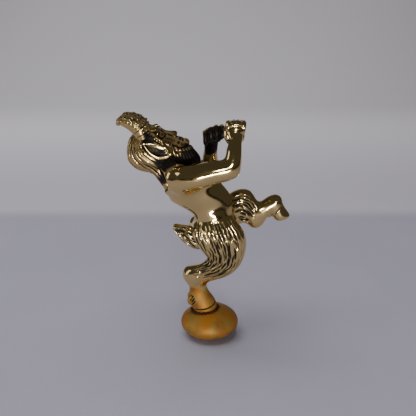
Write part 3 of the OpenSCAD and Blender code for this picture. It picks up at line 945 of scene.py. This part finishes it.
# How far a ray looks for cover. Closed places get black dip and painted shade.
WHEEL_AND_SHADE_REACH = 16.0
openness = np.zeros((len(coarse_places), 1))
for i, (place, out) in enumerate(zip(coarse_places, coarse_out)):
    start = (Vector(place) + Vector(out) * 0.4) * MM
    free, total = 0.0, 0.0
    for ray in RAYS:
        facing = ray.dot(Vector(out))
        if facing > 0.1:
            total += facing
            if coarse_faces.ray_cast(start, ray, WHEEL_AND_SHADE_REACH * MM)[0] is None:
                free += facing
    openness[i] = free / total
openness = relaxed(openness, edges_of(coarse.data), 3)
coarse_tree = tree_of(coarse_places)
bpy.data.objects.remove(coarse)
print("openness from", round(float(openness.min()), 2), "to", round(float(openness.max()), 2))

# %% Hollows, grooves, and spots of black dip and painted shade
# Spots of black dip and painted shadow, put in whatever the shape says: the place, how far it reaches,
# and how much. Those at the throat, under the ears and on the near wrist paint shadow: under the beard,
# under the ears and where the far hand shades the near wrist.
DIP_AND_SHADE_SPOTS = [
    ((2.6, 2.6, 90.6), 7.0, 1.9),      # palm side of the far hand
    ((0.6, 5.0, 85.0), 5.0, 1.2),      # far wrist
    ((7.4, -4.6, 88.6), 2.2, 0.8),     # where it touches the near wrist
    ((-9.5, 0.0, 83.0), 5.2, 0.9),     # throat, under the beard
    ((-12.5, -3.5, 83.0), 4.6, 0.8),
    ((-12.5, 3.5, 83.0), 4.6, 0.8),
    ((-19.2, -4.4, 75.0), 2.6, 0.8),   # nape
    ((-17.6, -8.0, 82.4), 4.2, 1.1),   # under the ears
    ((-17.6, 8.0, 82.4), 4.2, 1.1),
    ((-24.6, -7.4, 92.6), 2.2, 0.8),   # between horn and ear
    ((-24.6, 7.4, 92.6), 2.2, 0.8),
    ((-5.4, -4.6, 47.5), 3.0, 0.9),    # beside the root of the tail
    ((-4.6, -1.0, 51.5), 3.0, 0.5),
    ((-2.0, -2.5, 37.5), 2.4, 0.7),    # hollow of the knee
    ((3.6, 3.4, 47.0), 4.0, 0.6),      # between the legs
    ((10.6, 1.0, 54.5), 2.4, 0.6),
]
# Places that the wheel reached all the same: the back of the far hand, the lobe, beard and temple.
LIGHT_SPOTS = [((4.6, 5.8, 95.2), 2.2), ((-1.6, 6.4, 92.8), 2.4), ((1.5, 6.0, 94.6), 2.4),
               ((-16.0, -9.4, 86.0), 1.8), ((-12.8, -6.6, 86.2), 1.8), ((-18.5, -8.0, 90.6), 1.8)]


# Grooves, folds and the hollows between limbs: smoothing steps, the least depth that counts, weight.
HOLLOWS = [(3, 0.004, 14.0), (24, 0.02, 3.2), (160, 0.10, 0.9)]
CLOSED_FROM, CLOSED_WEIGHT = 0.38, 1.25


def dip_and_shade_on(obj, cut, strength=1.0, black_and_shade=0.0):
    """Writes the share of black dip and of painted shade at each point of a piece."""
    mesh = obj.data
    co, out, ends = places_of(mesh), normals_of(mesh), edges_of(mesh)
    dip = cut * 1.5 + black_and_shade
    for steps, least, weight in HOLLOWS:
        hollow = ((relaxed(co, ends, steps) - co) * out).sum(axis=1)
        crest = np.clip(-hollow - least, 0, 0.5)
        dip = dip + weight * np.clip(hollow - least, 0, 0.6) - 0.25 * weight * crest
    near = np.array([coarse_tree.find(place)[1] for place in co])
    closed = 1 - relaxed(openness[near], ends, 8)[:, 0]
    # Closed places, under overhangs and between limbs, get black dip and painted shade.
    dip = dip + CLOSED_WEIGHT * np.clip(closed - CLOSED_FROM, 0, 1)
    # Listed spots of black dip and painted shadow.
    for place, reach, amount in DIP_AND_SHADE_SPOTS:
        dip = dip + amount * np.exp(-((np.linalg.norm(co - place, axis=1) / reach) ** 2) * 1.4)
    for place, reach in LIGHT_SPOTS:
        dip = dip - 1.3 * np.exp(-((np.linalg.norm(co - place, axis=1) / reach) ** 2) * 1.4)
    dip = relaxed((strength * dip)[:, None], ends, 2)[:, 0]
    # The attribute holds black dip and painted shade together.
    attribute = mesh.attributes.new("dip", "FLOAT", "POINT")
    attribute.data.foreach_set("value", np.clip(dip, 0, 1.5).astype(np.float32))
    return obj


# The extra black passed in for some pieces adds black dip and painted shade.
dip_and_shade_on(body, skin.cut)
dip_and_shade_on(head, skin_of_head.cut, strength=1.6, black_and_shade=0.16)
dip_and_shade_on(tail, strands.cut, black_and_shade=0.12)
for piece in horns.values():
    dip_and_shade_on(piece, 0.0, strength=1.35, black_and_shade=0.16)
# Inside each ear, away from the rim and the lobe: black dip and painted shade in the hollow.
for side, piece in ((-1, ears["right_ear"]), (1, ears["left_ear"])):
    rim = path_through([(x, side * y, z) for x, y, z in EAR_RIM], 60)
    to_rim = np.min([np.linalg.norm(places_of(piece.data) - place, axis=1) for place in rim], axis=0)
    to_lobe = np.linalg.norm(places_of(piece.data) - lobe_place(side), axis=1)
    dip_and_shade_on(piece, 0.0, 1.0, np.clip((np.minimum(to_rim, to_lobe - 0.6) - 0.75) / 0.5, 0, 1) * 0.7)
to_ring = np.min([np.linalg.norm(places_of(base.data) - place, axis=1) for place, _ in ring], axis=0)
dip_and_shade_on(base, 0.0, strength=0.5, black_and_shade=1.5 * np.exp(-((to_ring / 1.5) ** 2)))
dip_and_shade_on(braze, 0.0, black_and_shade=0.75)
print("dip written on", len(WHOLE) + 1, "pieces")

# %% [markdown]
# ## Back into cast sections
# The body was modelled as one wax, and a founder cuts such a wax into sections that a mould can let go
# of. The cuts follow the CAD model: each face goes to the section whose solid it lies nearest to, and
# each section is closed where it was cut. The surface normals are kept from before the cut, so that the
# chased and polished joints don't show, as on the real one.

# %% Which section each face belongs to
body_places = places_of(body.data)
FAR_OFF = 3.0
lies = np.full((len(body_places), len(BODY_NODES)), FAR_OFF)
for k, node in enumerate(BODY_NODES):
    solid = BVHTree.FromObject(frame["nodes"][node], bpy.context.evaluated_depsgraph_get())
    low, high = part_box(node)
    inside_box = (body_places > np.array(low) / MM - 1.6) & (body_places < np.array(high) / MM + 1.6)
    for i in np.flatnonzero(inside_box.all(axis=1)):
        place = Vector(body_places[i]) * MM
        hit, out, _, distance = solid.find_nearest(place, FAR_OFF * MM)
        if hit is not None:
            lies[i, k] = math.copysign(distance / MM, (place - hit).dot(out))
lies = relaxed(lies, edges_of(body.data), 8)
lies = -relaxed((lies == lies.min(axis=1)[:, None]).astype(float), edges_of(body.data), 16)
corners = np.empty(len(body.data.loops), np.int32)
body.data.loops.foreach_get("vertex_index", corners)
face_lies = lies[corners.reshape(-1, 4)].mean(axis=1)
sections = face_lies.argmin(axis=1).astype(np.int32)

# %% Stray patches go to the section round them
loop_edges = np.empty(len(body.data.loops), np.int32)
body.data.loops.foreach_get("edge_index", loop_edges)
order = np.argsort(loop_edges, kind="stable")
neighbours = (order // 4).reshape(-1, 2)     # every face has four corners, and every edge two faces
for _ in range(3):
    alike = neighbours[sections[neighbours[:, 0]] == sections[neighbours[:, 1]]]
    patch = np.arange(len(sections))
    while True:
        least = np.minimum(patch[alike[:, 0]], patch[alike[:, 1]])
        joined = patch.copy()
        np.minimum.at(joined, alike[:, 0], least)
        np.minimum.at(joined, alike[:, 1], least)
        np.minimum.at(joined, patch[alike[:, 0]], least)
        np.minimum.at(joined, patch[alike[:, 1]], least)
        joined = joined[joined]
        if (joined == patch).all():
            break
        patch = joined
    size = np.bincount(patch, minlength=len(patch))
    biggest = [max(np.flatnonzero((sections == k)[patch] & (size > 0)), key=lambda root: size[root],
                   default=-1)
               for k in range(len(BODY_NODES))]
    stray = ~np.isin(patch, biggest)
    across = neighbours[stray[neighbours[:, 0]] != stray[neighbours[:, 1]]]
    inner = np.where(stray[across[:, 0]], across[:, 0], across[:, 1])
    outer = np.where(stray[across[:, 0]], across[:, 1], across[:, 0])
    for root in np.unique(patch[stray]):
        around = sections[outer[patch[inner] == root]]
        if len(around):
            sections[patch == root] = np.bincount(around).argmax()
    print("stray faces moved:", int(stray.sum()))
print("faces in each section:",
      dict(zip(BODY_NODES, np.bincount(sections, minlength=len(BODY_NODES)).tolist())))

# %% Cut and close
kept_normals = body.data.attributes.new("kept_normal", "FLOAT_VECTOR", "POINT")
kept_normals.data.foreach_set("vector", normals_of(body.data).ravel())
body.data.materials.clear()
for node in BODY_NODES:
    body.data.materials.append(bpy.data.materials.new(node))
body.data.polygons.foreach_set("material_index", sections)
only(body)
bpy.ops.object.mode_set(mode="EDIT")
bpy.ops.mesh.select_all(action="SELECT")
bpy.ops.mesh.separate(type="MATERIAL")
bpy.ops.object.mode_set(mode="OBJECT")
cast = {}
for piece in list(bpy.context.selected_objects):
    node = piece.material_slots[0].material.name.split(".")[0]
    only(piece)
    bpy.ops.object.mode_set(mode="EDIT")
    bpy.ops.mesh.select_all(action="SELECT")
    bpy.ops.mesh.fill_holes(sides=0)
    bpy.ops.mesh.select_all(action="DESELECT")
    bpy.ops.mesh.select_face_by_sides(number=4, type="GREATER")
    bpy.ops.mesh.poke(center_mode="MEDIAN")
    bpy.ops.mesh.select_all(action="SELECT")
    bpy.ops.mesh.normals_make_consistent(inside=False)
    bpy.ops.object.mode_set(mode="OBJECT")
    mesh = piece.data
    normals = np.empty(len(mesh.vertices) * 3, np.float32)
    mesh.attributes["kept_normal"].data.foreach_get("vector", normals)
    if (normals_of(mesh) * normals.reshape(-1, 3)).sum() < 0:
        mesh.flip_normals()
    mesh.polygons.foreach_set("use_smooth", np.ones(len(mesh.polygons), bool))
    mesh.normals_split_custom_set_from_vertices(normals.reshape(-1, 3))
    mesh.attributes.remove(mesh.attributes["kept_normal"])
    piece.name = node + "_casting"
    cast[node] = piece
for node in BODY_NODES:
    bpy.data.materials.remove(bpy.data.materials[node])
loose = {"head": head, "tail": tail, "base_dome": base, "foot_braze": braze, **horns, **ears}
for node, piece in loose.items():
    only(piece)
    bpy.ops.object.shade_smooth()
    piece.name = node + "_casting"
    cast[node] = piece
print("sections:", len(cast))

# %% [markdown]
# ## The metal
# Every section is brass, the head and horns a darker one. One node group says how much black dip and
# painted shade there is, one paints the heat colours that brazing gave the foot, and one gives the fine
# wear of polishing.


# %% Node groups
def new_group(name, inputs, outputs):
    group = bpy.data.node_groups.new(name, "ShaderNodeTree")
    for label, kind, value in inputs:
        socket = group.interface.new_socket(label, in_out="INPUT", socket_type=kind)
        socket.default_value = value
    for label, kind in outputs:
        group.interface.new_socket(label, in_out="OUTPUT", socket_type=kind)
    return group, group.nodes.new("NodeGroupInput"), group.nodes.new("NodeGroupOutput")


def add_node(tree, kind, values=(), **settings):
    """A node with its settings, and constants in its input sockets."""
    node = tree.nodes.new(kind)
    for key, value in settings.items():
        setattr(node, key, value)
    for socket, value in dict(values).items():
        node.inputs[socket].default_value = value
    return node


def noise_at(tree, where, scale, detail=3.0, rough=0.55):
    texture = add_node(tree, "ShaderNodeTexNoise", {"Scale": scale, "Detail": detail, "Roughness": rough})
    tree.links.new(where, texture.inputs["Vector"])
    return texture.outputs["Fac"]


def math_of(tree, operation, first, second, clamp=False):
    node = add_node(tree, "ShaderNodeMath", operation=operation, use_clamp=clamp)
    for socket, value in zip(node.inputs, (first, second)):
        if isinstance(value, (int, float)):
            socket.default_value = value
        else:
            tree.links.new(value, socket)
    return node.outputs["Value"]


def ramp_of(tree, value, low, high, smooth=True):
    node = add_node(tree, "ShaderNodeMapRange", {"From Min": low, "From Max": high},
                    interpolation_type="SMOOTHSTEP" if smooth else "LINEAR")
    tree.links.new(value, node.inputs["Value"])
    return node.outputs["Result"]


def blend_of(tree, share, first, second):
    node = add_node(tree, "ShaderNodeMix", data_type="RGBA")
    for name, value in (("Factor_Float", share), ("A_Color", first), ("B_Color", second)):
        socket = next(s for s in node.inputs if s.identifier == name)
        if isinstance(value, (tuple, float)):
            socket.default_value = value
        else:
            tree.links.new(value, socket)
    return next(s for s in node.outputs if s.identifier == "Result_Color")


# %% Group: black dip and painted shade
dip_and_shade_group, entry, leave = new_group(
    "black_dip", [("Strength", "NodeSocketFloat", 1.0)], [("Mask", "NodeSocketFloat")])
places = add_node(dip_and_shade_group, "ShaderNodeTexCoord")
# The dip attribute: black dip and painted shade.
kept = add_node(dip_and_shade_group, "ShaderNodeAttribute", attribute_name="dip")
patchy = math_of(dip_and_shade_group, "SUBTRACT", noise_at(dip_and_shade_group, places.outputs["Object"], 900, 4), 0.5)
fine = math_of(dip_and_shade_group, "SUBTRACT", noise_at(dip_and_shade_group, places.outputs["Object"], 3500, 3), 0.5)
strong = math_of(dip_and_shade_group, "MULTIPLY", kept.outputs["Fac"], entry.outputs["Strength"])
uneven = math_of(dip_and_shade_group, "ADD", strong, math_of(dip_and_shade_group, "MULTIPLY", patchy, 0.34))
uneven = math_of(dip_and_shade_group, "ADD", uneven, math_of(dip_and_shade_group, "MULTIPLY", fine, 0.22))
BLACK_STARTS, BLACK_FULL = 0.12, 0.78
dip_and_shade_group.links.new(ramp_of(dip_and_shade_group, uneven, BLACK_STARTS, BLACK_FULL), leave.inputs["Mask"])

# %% Group: heat colours, strongest at the foot
heat_group, entry, leave = new_group("heat_colours", [],
                                     [("Colour", "NodeSocketColor"), ("Amount", "NodeSocketFloat")])
places = add_node(heat_group, "ShaderNodeTexCoord")
split = add_node(heat_group, "ShaderNodeSeparateXYZ")
heat_group.links.new(places.outputs["Object"], split.inputs["Vector"])
blotch = noise_at(heat_group, places.outputs["Object"], 210, 4, 0.6)
wander = noise_at(heat_group, places.outputs["Object"], 120, 3)
orange_olive = blend_of(heat_group, ramp_of(heat_group, blotch, 0.40, 0.62),
                        (0.42, 0.172, 0.028, 1), (0.33, 0.205, 0.048, 1))
brown = blend_of(heat_group, ramp_of(heat_group, wander, 0.50, 0.70), orange_olive, (0.27, 0.11, 0.03, 1))
HEAT_ENDS, HEAT_FULL = 0.0300, 0.0262  # heights over the table, in metres
height = math_of(heat_group, "ADD", split.outputs["Z"], math_of(heat_group, "MULTIPLY", blotch, 0.007))
heat_group.links.new(brown, leave.inputs["Colour"])
heat_group.links.new(ramp_of(heat_group, height, HEAT_ENDS, HEAT_FULL), leave.inputs["Amount"])

# %% Group: wear from polishing
wear_group, entry, leave = new_group(
    "polish_wear", [("Roughness", "NodeSocketFloat", 0.15)],
    [("Roughness", "NodeSocketFloat"), ("Height", "NodeSocketFloat")])
places = add_node(wear_group, "ShaderNodeTexCoord")
smear = noise_at(wear_group, places.outputs["Object"], 260, 4)
grain = noise_at(wear_group, places.outputs["Object"], 2600, 2)
uneven = math_of(wear_group, "ADD", entry.outputs["Roughness"],
                 math_of(wear_group, "MULTIPLY", math_of(wear_group, "SUBTRACT", smear, 0.5), 0.16))
wear_group.links.new(math_of(wear_group, "MAXIMUM", uneven, 0.05), leave.inputs["Roughness"])
wear_group.links.new(math_of(wear_group, "ADD", smear, math_of(wear_group, "MULTIPLY", grain, 0.12)),
                     leave.inputs["Height"])


# %% Brass
def brass(name, colour, roughness, dip, ripple=0.022, black=(0.011, 0.008, 0.006, 1)):
    material = bpy.data.materials.new(name)
    material.use_nodes = True
    tree = material.node_tree
    shader = tree.nodes["Principled BSDF"]
    shader.inputs["Specular IOR Level"].default_value = 0.18
    mask = add_node(tree, "ShaderNodeGroup", {}, node_tree=dip_and_shade_group)
    mask.inputs["Strength"].default_value = dip
    heat = add_node(tree, "ShaderNodeGroup", {}, node_tree=heat_group)
    wear = add_node(tree, "ShaderNodeGroup", {}, node_tree=wear_group)
    wear.inputs["Roughness"].default_value = roughness
    heated = blend_of(tree, heat.outputs["Amount"], colour, heat.outputs["Colour"])
    # The brass is turned black by the dip mask, which holds black dip and painted shade.
    tree.links.new(blend_of(tree, mask.outputs["Mask"], heated, black), shader.inputs["Base Color"])
    film = math_of(tree, "MULTIPLY", heat.outputs["Amount"], 0.42)
    covered = math_of(tree, "MAXIMUM", math_of(tree, "MULTIPLY", mask.outputs["Mask"], 0.75), film)
    tree.links.new(math_of(tree, "SUBTRACT", 1.0, covered), shader.inputs["Metallic"])
    dulled = math_of(tree, "ADD", wear.outputs["Roughness"], film)
    tree.links.new(math_of(tree, "ADD", dulled, math_of(tree, "MULTIPLY", mask.outputs["Mask"], 0.30),
                           clamp=True),
                   shader.inputs["Roughness"])
    bump = add_node(tree, "ShaderNodeBump", {"Strength": 1.0, "Distance": ripple * MM})
    tree.links.new(wear.outputs["Height"], bump.inputs["Height"])
    tree.links.new(bump.outputs["Normal"], shader.inputs["Normal"])
    return material


POLISHED = (0.72, 0.545, 0.235, 1)
FINISHES = {
    "skin_brass": brass("skin_brass", POLISHED, roughness=0.10, dip=1.0),
    "fur_brass": brass("fur_brass", POLISHED, roughness=0.12, dip=1.15),
    "head_brass": brass("head_brass", (0.58, 0.41, 0.165, 1), roughness=0.16, dip=1.2),
    "horn_brass": brass("horn_brass", (0.66, 0.48, 0.20, 1), roughness=0.18, dip=1.2),
    "hoof_brass": brass("hoof_brass", POLISHED, roughness=0.17, dip=1.0),
    "foot_brass": brass("foot_brass", POLISHED, roughness=0.16, dip=1.0),
    "pin_brass": brass("pin_brass", (0.74, 0.58, 0.30, 1), roughness=0.3, dip=1.0),
    "braze": brass("braze", (0.20, 0.11, 0.04, 1), roughness=0.3, dip=1.0, ripple=0.12,
                   black=(0.03, 0.014, 0.006, 1)),
}
slot_of = {part["node"]: part["material_slot"] for part in frame["record"]["subparts"]}
for node, obj in frame["nodes"].items():
    obj.data.materials.clear()
    obj.data.materials.append(FINISHES[slot_of[node]])
for node, piece in cast.items():
    piece.data.materials.clear()
    piece.data.materials.append(FINISHES[slot_of[node]])
    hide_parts(node)
    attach(piece, "root")
print("finishes:", ", ".join(FINISHES))

# %% Cloth
cloth = bpy.data.materials.new("cloth")
cloth.use_nodes = True
cloth_tree = cloth.node_tree
cloth_shader = cloth_tree.nodes["Principled BSDF"]
cloth_shader.inputs["Roughness"].default_value = 0.95
cloth_shader.inputs["Specular IOR Level"].default_value = 0.1
cloth_places = add_node(cloth_tree, "ShaderNodeTexCoord")
cloth_split = add_node(cloth_tree, "ShaderNodeSeparateXYZ")
cloth_tree.links.new(cloth_places.outputs["Object"], cloth_split.inputs["Vector"])
fold = ramp_of(cloth_tree, cloth_split.outputs["Y"], 0.160, 0.186)
mottle = noise_at(cloth_tree, cloth_places.outputs["Object"], 14, 3)
near_colour = blend_of(cloth_tree, mottle, (0.315, 0.305, 0.365, 1), (0.355, 0.345, 0.405, 1))
far = ramp_of(cloth_tree, cloth_split.outputs["Y"], 0.20, 0.60)
wall_colour = blend_of(cloth_tree, far, (0.45, 0.435, 0.475, 1), (0.72, 0.70, 0.73, 1))
cloth_tree.links.new(blend_of(cloth_tree, fold, near_colour, wall_colour),
                     cloth_shader.inputs["Base Color"])
weave = add_node(cloth_tree, "ShaderNodeBump", {"Strength": 0.5, "Distance": 0.0002})
cloth_tree.links.new(noise_at(cloth_tree, cloth_places.outputs["Object"], 1600, 2), weave.inputs["Height"])
cloth_tree.links.new(weave.outputs["Normal"], cloth_shader.inputs["Normal"])
sweep.data.materials.append(cloth)
dark_wood = bpy.data.materials.new("dark_wood")
dark_wood.use_nodes = True
wood_tree = dark_wood.node_tree
wood_places = add_node(wood_tree, "ShaderNodeTexCoord")
streaks = add_node(wood_tree, "ShaderNodeMapping", {"Scale": (3, 60, 3)})
wood_tree.links.new(wood_places.outputs["Object"], streaks.inputs["Vector"])
wood = blend_of(wood_tree, noise_at(wood_tree, streaks.outputs["Vector"], 2.0, 4),
                (0.030, 0.022, 0.016, 1), (0.055, 0.040, 0.028, 1))
wood_tree.links.new(wood, wood_tree.nodes["Principled BSDF"].inputs["Base Color"])
wood_tree.nodes["Principled BSDF"].inputs["Roughness"].default_value = 0.6
table.data.materials.append(dark_wood)
